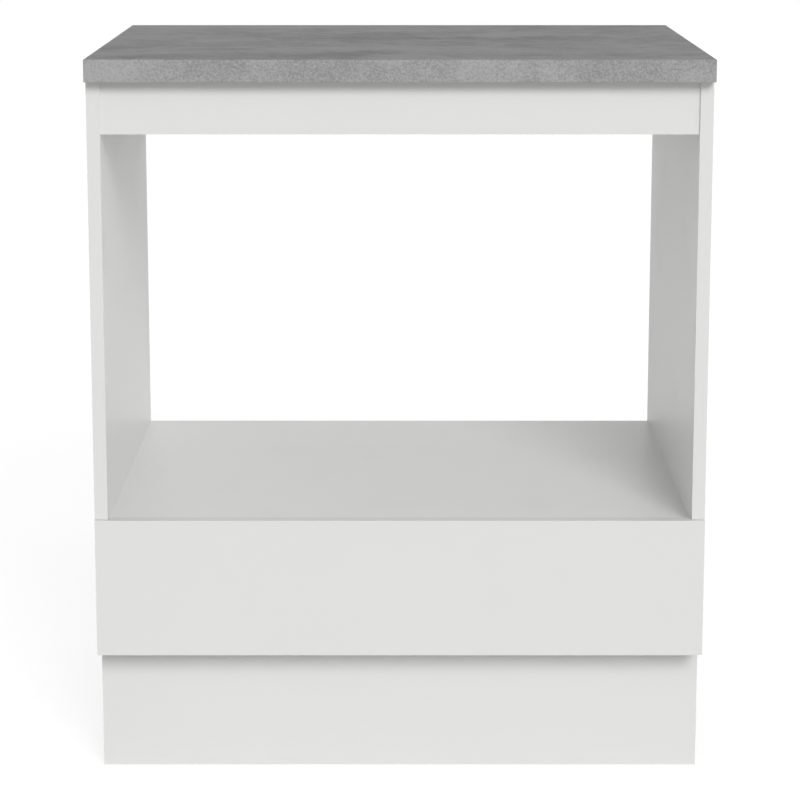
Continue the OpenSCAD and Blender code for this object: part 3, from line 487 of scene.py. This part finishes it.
def worktop_core():
    """The worktop's chipboard: bare at the back, with a pale grey balancing paper underneath."""
    made, s, shader = new_material("worktop_core")
    place = s.place()
    low, high = corners("worktop_core")
    depth = coat_depth(s, place, "worktop_core", ["x-", "x+", "y-", "y+", "z+"])
    under = s.spread(depth, PAPER, PAPER + COAT_STEP, 1.0, 0.0)
    from_face = s.math("MINIMUM", depth, s.minus(float(high[2] - low[2]), depth))
    wood, wood_height = chipboard(s, place, 2, from_face)
    paper = s.blend(s.noise(place, scale=260.0, detail=4.0, roughness=0.6), PAPER_DARK, PAPER_LIGHT)
    s.feed(shader["Base Color"], s.blend(under, wood, paper))
    s.feed(shader["Roughness"], s.between(under, 0.9, 0.7))
    raise_surface(s, shader, s.between(under, wood_height, 0.5), 0.4 * MM)
    return made


def white_edge_band():
    """Plastic edge band, a touch glossier than the boards, with the trimming cutter's fine chatter."""
    made, s, shader = new_material("white_edge_band")
    place = s.place()
    face = s.use(BOARD_FACE, {"Place": place})
    chatter = s.noise(s.scaled(place, (60.0, 60.0, 900.0)), scale=1.0, detail=2.0, roughness=0.5)
    tone = s.between(0.4, face["Tone"], chatter)
    s.feed(shader["Base Color"], shades(s, tone, FRONT_WHITE, 0.985, 1.015))
    s.feed(shader["Roughness"], s.plus(face["Roughness"], 0.30))
    raise_surface(s, shader, s.times(tone, 0.1), 0.1 * MM)
    return made


def front_white():
    """The drawer front's satin foil, the same on every face."""
    made, s, shader = new_material("front_white")
    face = s.use(BOARD_FACE, {"Place": s.place()})
    s.feed(shader["Base Color"], shades(s, face["Tone"], FRONT_WHITE, 0.988, 1.012))
    s.feed(shader["Roughness"], s.plus(face["Roughness"], 0.34))
    raise_surface(s, shader, face["Height"], 0.05 * MM)
    return made


def zinc_steel(name, rolled, colour, roughness, track_z=None):
    """Zinc-plated steel. rolled is the scale of its streaks along each axis. A slide's middle line is at the
    height track_z, and grease darkens it near its ball tracks."""
    made, s, shader = new_material(name, Metallic=1.0)
    place = s.place()
    plate = s.use(ZINC, {"Place": place, "Rolled": rolled})
    plated = shades(s, plate["Tone"], colour, 0.92, 1.06)
    if track_z:
        off_middle = s.math("ABSOLUTE", s.minus(s.axes(place)[2], track_z))
        smears = s.noise(s.scaled(place, (60.0, 14.0, 300.0)), scale=1.0, detail=4.0, roughness=0.6)
        greasy = s.spread(off_middle, GREASE_FROM, GREASE_FULL)
        film = s.times(greasy, s.spread(smears, 0.4, 0.7, 0.1, 0.6))
        plated = s.blend(film, plated, GREASE)
    s.feed(shader["Base Color"], dusted(s, place, 0.12, plated, DUST_ON_STEEL)[0])
    s.feed(shader["Roughness"], s.plus(plate["Roughness"], roughness))
    raise_surface(s, shader, plate["Height"], 0.02 * MM)
    return made


def polished_balls():
    """Hardened steel balls with a thin film of grease."""
    made, s, shader = new_material("polished_balls", Metallic=1.0)
    film = s.spread(s.noise(s.place(), scale=700.0, detail=3.0, roughness=0.6), 0.4, 0.7)
    s.feed(shader["Base Color"], s.blend(film, BALL_BRIGHT, BALL_GREASY))
    s.feed(shader["Roughness"], s.between(film, 0.08, 0.30))
    return made


def moulded_plastic(name, colour, roughness, dusty, scuffed_below=None):
    """Moulded plastic. Below the height scuffed_below it is scuffed pale by the floor."""
    made, s, shader = new_material(name)
    place = s.place()
    skin = s.use(MOULDED, {"Place": place})
    moulded = shades(s, skin["Tone"], colour, 0.85, 1.2)
    if scuffed_below:
        low = s.spread(s.axes(place)[2], 0.0, scuffed_below, 1.0, 0.0)
        rubs = s.noise(s.scaled(place, (1.0, 1.0, 4.0)), scale=160.0, detail=5.0, roughness=0.7)
        scuffs = s.times(s.spread(rubs, 0.5, 0.7), 0.5)
        moulded = s.blend(s.times(low, scuffs), moulded, PLASTIC_SCUFF)
    base, dust = dusted(s, place, dusty, moulded, DUST_ON_PLASTIC)
    s.feed(shader["Base Color"], base)
    s.feed(shader["Roughness"], s.between(dust, s.plus(skin["Roughness"], roughness), 0.9))
    raise_surface(s, shader, skin["Height"], 0.15 * MM)
    return made


def beech_wood(name, along):
    """Beech with its short dark rays. along is the dowels' axis, 0 for x or 1 for y."""
    made, s, shader = new_material(name)
    grain = [900.0] * 3
    grain[along] = 70.0
    rays = s.noise(s.scaled(s.place(), tuple(grain)), scale=1.0, detail=3.0, roughness=0.6)
    colour = s.blend(rays, BEECH_DARK, BEECH_LIGHT)
    s.feed(shader["Base Color"], s.blend(s.spread(rays, 0.62, 0.70), colour, BEECH_RAY))
    s.feed(shader["Roughness"], s.spread(rays, 0.3, 0.7, 0.65, 0.8))
    raise_surface(s, shader, rays, 0.1 * MM)
    return made


def bumper_rubber():
    """Soft clear rubber, gone faintly cloudy."""
    made, s, shader = new_material("bumper_rubber", Transmission_Weight=0.7, IOR=1.45)
    cloud = s.noise(s.place(), scale=500.0, detail=3.0, roughness=0.6)
    s.feed(shader["Base Color"], s.blend(cloud, RUBBER_CLOUDY, RUBBER_CLEAR))
    s.feed(shader["Roughness"], s.spread(cloud, 0.3, 0.7, 0.25, 0.45))
    return made


def finish_node(node, material):
    for slot in nodes[node].material_slots:
        slot.material = material


def finish_boards():
    """White coated boards. Each entry says which white it has and which of its faces are bare."""
    ends_and_edges = ["y-", "y+", "z-", "z+"]
    # The carcass boards take the lighter white, painted light for the dimmer niche; the front parts take the
    # front white
    boards = {
        "side_panel_left": (CARCASS_WHITE_WITH_PAINTED_LIGHT, ends_and_edges),
        "side_panel_right": (CARCASS_WHITE_WITH_PAINTED_LIGHT, ends_and_edges),
        "niche_floor": (CARCASS_WHITE_WITH_PAINTED_LIGHT, ["x-", "x+", "y-", "y+"]),
        "bottom_board": (CARCASS_WHITE_WITH_PAINTED_LIGHT, ["x-", "x+", "y+"]),
        "top_front_rail": (FRONT_WHITE, ["x-", "x+", "z+"]),
        "top_back_rail": (CARCASS_WHITE_WITH_PAINTED_LIGHT, ["x-", "x+", "z+"]),
        "plinth_board": (FRONT_WHITE, ["z+"]),
        "drawer_inner_front": (CARCASS_WHITE_WITH_PAINTED_LIGHT, ["x-", "x+", "z-"]),
        "drawer_side_left": (CARCASS_WHITE_WITH_PAINTED_LIGHT, ["y-", "y+", "z-"]),
        "drawer_side_right": (CARCASS_WHITE_WITH_PAINTED_LIGHT, ["y-", "y+", "z-"]),
        "drawer_back": (CARCASS_WHITE_WITH_PAINTED_LIGHT, ["x-", "x+", "z-"]),
    }
    for node, (white, bare) in boards.items():
        finish_node(node, layered_board(node, white, bare))
    hardboards = {
        "lower_back_panel": ["x-", "x+", "y+", "z-", "z+"],
        "drawer_bottom": ["x-", "x+", "y-", "y+", "z-"],
    }
    for node, bare in hardboards.items():
        finish_node(node, layered_board(node, CARCASS_WHITE_WITH_PAINTED_LIGHT, bare, chips=False))
    band = white_edge_band()
    for node in ("side_edging_left", "side_edging_right", "niche_floor_edging"):
        finish_node(node, band)
    finish_node("drawer_front", front_white())


def finish_worktop():
    finish_node("worktop_laminate", concrete_laminate())
    finish_node("worktop_core", worktop_core())
    edging = concrete_edging()
    for node in ("worktop_front_edging", "worktop_left_edging", "worktop_right_edging"):
        finish_node(node, edging)


def finish_fittings():
    """Metal, plastic, wood and rubber fittings."""
    slide_low, slide_high = corners("slide_cabinet_member_right")
    slide_middle_z = float(slide_low[2] + slide_high[2]) / 2
    slide = zinc_steel("slide_zinc", (500.0, 12.0, 500.0), ROLLED_ZINC, 0.20, slide_middle_z)
    screws = zinc_steel("screw_zinc", (300.0, 300.0, 300.0), SCREW_ZINC, 0.22)
    brackets = zinc_steel("bracket_zinc", (40.0, 600.0, 600.0), ROLLED_ZINC, 0.22)
    castings = zinc_steel("cam_zinc", (200.0, 200.0, 200.0), CAST_ZINC, 0.34)
    balls = polished_balls()
    legs = moulded_plastic("leg_plastic", BLACK_PLASTIC, 0.42, 0.45)
    for node in nodes:
        if node.endswith("screws"):
            finish_node(node, screws)
        elif node.startswith(("slide_outer_balls", "slide_inner_balls")):
            finish_node(node, balls)
        elif node.startswith(("leg_", "plinth_clip_", "foot_", "slide_release_levers")):
            finish_node(node, legs)
        elif node.startswith("slide_"):
            finish_node(node, slide)
    finish_node("worktop_brackets", brackets)
    finish_node("cam_locks", castings)
    finish_node("cam_bolts", screws)
    finish_node("cam_caps", moulded_plastic("cap_plastic", CAP_PLASTIC, 0.35, 0.1))
    finish_node("carcass_dowels", beech_wood("dowels_across", 0))
    finish_node("drawer_box_dowels", beech_wood("dowels_along", 1))
    finish_node("drawer_bumpers", bumper_rubber())


# Adjustable feet: radii and heights of the moulded profile, above the floor
FOOT_SIDES = 120
PAD_R = 30.0 * MM
PAD_TOP = 5.0 * MM
CONE_TOP = 10.0 * MM
COLLAR_R = 18.0 * MM
COLLAR_TOP = 22.0 * MM
SPINDLE_R = 13.8 * MM
SPINDLE_TOP = 96.0 * MM
SOLE_RECESS = 1.2 * MM
SOLE_WALL = 6.0 * MM
CORNER_R = 0.8 * MM
CORNER_STEPS = 4
CORNER_SHARE = 0.45
FLUTES = 12
FLUTE_DEPTH = 1.5 * MM
FLUTE_FADE = 1.0 * MM
THREAD_PITCH = 4.0 * MM
THREAD_DEPTH = 1.3 * MM
THREAD_SHARPNESS = 1.5
ROWS_PER_TURN = 10


def rounded(points):
    """The outline through points, with each inner corner cut by a curve that runs from CORNER_R before it to
    CORNER_R after it, as a quadratic in between, and takes CORNER_SHARE of a side at most."""
    points = np.array(points, float)
    out = [points[0]]
    for before, corner, after in zip(points, points[1:], points[2:]):
        back, ahead = before - corner, after - corner
        start = corner + back * min(CORNER_SHARE, CORNER_R / np.linalg.norm(back))
        end = corner + ahead * min(CORNER_SHARE, CORNER_R / np.linalg.norm(ahead))
        t = np.linspace(0.0, 1.0, CORNER_STEPS)[:, None]
        out.extend((1 - t) ** 2 * start + 2 * t * (1 - t) * corner + t ** 2 * end)
    out.append(points[-1])
    return np.array(out)


def foot_outline():
    """The foot's half profile as (radius, height), from the middle of its sole to the top of its spindle."""
    body = rounded([
        (0.0, SOLE_RECESS),
        (PAD_R - SOLE_WALL, SOLE_RECESS),
        (PAD_R - SOLE_WALL, 0.0),
        (PAD_R, 0.0),
        (PAD_R, PAD_TOP),
        (COLLAR_R, CONE_TOP),
        (COLLAR_R, COLLAR_TOP),
        (SPINDLE_R, COLLAR_TOP),
    ])
    rows = int((SPINDLE_TOP - COLLAR_TOP) / THREAD_PITCH * ROWS_PER_TURN)
    spindle = np.column_stack([np.full(rows, SPINDLE_R), np.linspace(COLLAR_TOP, SPINDLE_TOP, rows)])
    return np.vstack([body, spindle[1:], [(0.0, SPINDLE_TOP)]])


def foot_surface(centre):
    """Turned about the spindle, with two ripples on the radius: the collar's flutes, FLUTE_DEPTH times the
    square of a cosine with FLUTES crests, and the thread, THREAD_DEPTH times a wave of height and turn."""
    outline = foot_outline()
    radius, height = outline[:, :1], outline[:, 1:]
    turn = np.linspace(0.0, 2 * math.pi, FOOT_SIDES, endpoint=False)[None, :]
    above_cone = np.clip((height - CONE_TOP) / FLUTE_FADE, 0, 1)
    below_top = np.clip((COLLAR_TOP - height) / FLUTE_FADE + 1, 0, 1)
    on_collar = above_cone * below_top * (radius > SPINDLE_R + 0.1 * MM)
    flute = FLUTE_DEPTH * np.cos(FLUTES / 2 * turn) ** 2 * on_collar
    run_in = np.clip((height - COLLAR_TOP) / THREAD_PITCH, 0, 1)
    run_out = np.clip((SPINDLE_TOP - height) / THREAD_PITCH, 0, 1)
    wave = 0.5 - 0.5 * np.cos(turn - 2 * math.pi * height / THREAD_PITCH)
    thread = THREAD_DEPTH * wave ** THREAD_SHARPNESS * run_in * run_out * (radius > 0)
    reach = radius - flute - thread
    x = centre[0] + reach * np.cos(turn)
    y = centre[1] + reach * np.sin(turn)
    z = np.broadcast_to(height, x.shape)
    return np.stack([x, y, z], axis=-1)


def closed_turning(name, grid):
    """A mesh of a turned grid whose first and last rows are single points on the axis."""
    rows, sides = grid.shape[:2]
    ring = grid[1:-1].reshape(-1, 3)
    points = np.vstack([grid[0, :1], ring, grid[-1, :1]])
    row, side = np.meshgrid(np.arange(rows - 3), np.arange(sides), indexing="ij")
    here = 1 + row * sides + side
    ahead = 1 + row * sides + (side + 1) % sides
    walls = np.stack([here, ahead, ahead + sides, here + sides], axis=-1).reshape(-1, 4)
    around = np.arange(sides)
    following = (around + 1) % sides
    first = np.stack([np.zeros(sides, int), 1 + following, 1 + around], axis=-1)
    top = 1 + (rows - 3) * sides
    last = np.stack([np.full(sides, len(points) - 1), top + around, top + following], axis=-1)
    mesh = bpy.data.meshes.new(name)
    mesh.from_pydata(points, [], [*walls.tolist(), *first.tolist(), *last.tolist()])
    mesh.shade_smooth()
    made = bpy.data.objects.new(name, mesh)
    bpy.context.scene.collection.objects.link(made)
    return made


def adjustable_feet():
    """Threaded, fluted feet in the places of the plain CAD feet."""
    plastic = moulded_plastic("foot_plastic", BLACK_PLASTIC, 0.42, 0.45, scuffed_below=8 * MM)
    for end in ("front", "back"):
        for side in ("left", "right"):
            body = f"foot_{end}_{side}"
            low, high = corners(body)
            foot = closed_turning(f"threaded_{body}", foot_surface((low + high) / 2))
            foot.data.materials.append(plastic)
            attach(foot, body)
            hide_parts(body)


# Eased edges: what counts as one point, what counts as an edge, and how round it becomes
WELD_REACH = 0.01 * MM
EDGE_ANGLE = math.radians(40)
EDGE_SEGMENTS = 2


def ease_edges():
    """Takes the sharpness off the boards' edges, as edge trimming and foil wrapping do."""
    eased = {
        "drawer_front": 0.6 * MM,
        "plinth_board": 0.35 * MM,
        "top_front_rail": 0.3 * MM,
        "side_edging_left": 0.3 * MM,
        "side_edging_right": 0.3 * MM,
        "niche_floor_edging": 0.3 * MM,
        "worktop_front_edging": 0.3 * MM,
        "worktop_left_edging": 0.3 * MM,
        "worktop_right_edging": 0.3 * MM,
        "worktop_laminate": 0.2 * MM,
    }
    for node, width in eased.items():
        piece = nodes[node]
        weld = piece.modifiers.new("weld", "WELD")
        weld.merge_threshold = WELD_REACH
        bevel = piece.modifiers.new("eased_edge", "BEVEL")
        bevel.width = width
        bevel.segments = EDGE_SEGMENTS
        bevel.limit_method = "ANGLE"
        bevel.angle_limit = EDGE_ANGLE


def studio_floor():
    """A wide pale floor. Cameras and mirrors see it nearly white, and it keeps the cabinet's shadow."""
    half = FLOOR_SIDE / 2
    square = [(-half, -half, 0), (half, -half, 0), (half, half, 0), (-half, half, 0)]
    mesh = bpy.data.meshes.new("studio_floor")
    mesh.from_pydata(square, [], [(0, 1, 2, 3)])
    floor = bpy.data.objects.new("studio_floor", mesh)
    bpy.context.scene.collection.objects.link(floor)
    white = (1.0, 1.0, 1.0, 1.0)
    made, s, shader = new_material(
        "pale_floor", Roughness=0.9, Specular_IOR_Level=0.0, Emission_Color=white
    )
    seen = looked_at(s)
    s.feed(shader["Base Color"], s.blend(seen, FLOOR_WHITE, (FLOOR_SHADE,) * 3))
    s.feed(shader["Emission Strength"], s.times(seen, FLOOR_GLOW))
    mesh.materials.append(made)


def looked_at(s):
    """1 for rays that come from the camera, a mirror or glass."""
    path = s.add("ShaderNodeLightPath").outputs
    shiny = s.math("MAXIMUM", path["Is Glossy Ray"], path["Is Transmission Ray"])
    return s.math("MAXIMUM", path["Is Camera Ray"], shiny)


def bell(s, value, middle, width):
    """1 at the middle, and falling away on both sides as a bell curve does."""
    off = s.math("DIVIDE", s.minus(value, middle), width)
    return s.math("EXPONENT", s.times(s.times(off, off), -1.0))


def surroundings():
    """White all round. Its light is even, with more along the horizon on the right and at the back,
    and more in front at a height between the horizon and the top."""
    world = bpy.data.worlds.new("white_studio")
    bpy.context.scene.world = world
    world.use_nodes = True
    s = Shading(world.node_tree)
    toward = s.axes(s.add("ShaderNodeTexCoord").outputs["Generated"])
    right = s.times(s.math("MAXIMUM", toward[0], 0.0), FILL_RIGHT)
    back = s.times(s.math("MAXIMUM", toward[1], 0.0), FILL_BACK)
    front = s.times(s.math("MAXIMUM", s.times(toward[1], -1.0), 0.0), FILL_FRONT)
    low = s.times(bell(s, toward[2], *LOW_BAND), s.plus(right, back))
    raised = s.times(bell(s, toward[2], *RAISED_BAND), front)
    level = s.plus(FILL_EVEN, s.plus(low, raised))
    background = world.node_tree.nodes["Background"]
    background.inputs["Color"].default_value = (1.0, 1.0, 1.0, 1.0)
    s.feed(background.inputs["Strength"], s.between(looked_at(s), level, 1.0))


def key_light():
    """A soft key from the front right and above."""
    lamp = bpy.data.lights.new("key", "SUN")
    lamp.energy = KEY_LEVEL * math.pi
    lamp.angle = KEY_SPREAD
    sun = bpy.data.objects.new("key", lamp)
    sun.rotation_mode = "QUATERNION"
    sun.rotation_quaternion = Vector(KEY_DIRECTION).to_track_quat("Z", "Y")
    bpy.context.scene.collection.objects.link(sun)


def photo_camera():
    lens = bpy.data.cameras.new("photo_camera")
    lens.sensor_width = SENSOR_MM
    lens.lens = FOCAL_PX * SENSOR_MM / PHOTO_SIDE
    lens.shift_x, lens.shift_y = SHIFT
    camera = bpy.data.objects.new("photo_camera", lens)
    camera.location = EYE
    camera.rotation_euler = (math.pi / 2 - TILT_DOWN, 0.0, 0.0)
    bpy.context.scene.collection.objects.link(camera)
    bpy.context.scene.camera = camera


photo_camera()
key_light()
surroundings()
studio_floor()
finish_worktop()
finish_boards()
finish_fittings()
adjustable_feet()
ease_edges()
bpy.context.scene.view_settings.view_transform = "Standard"
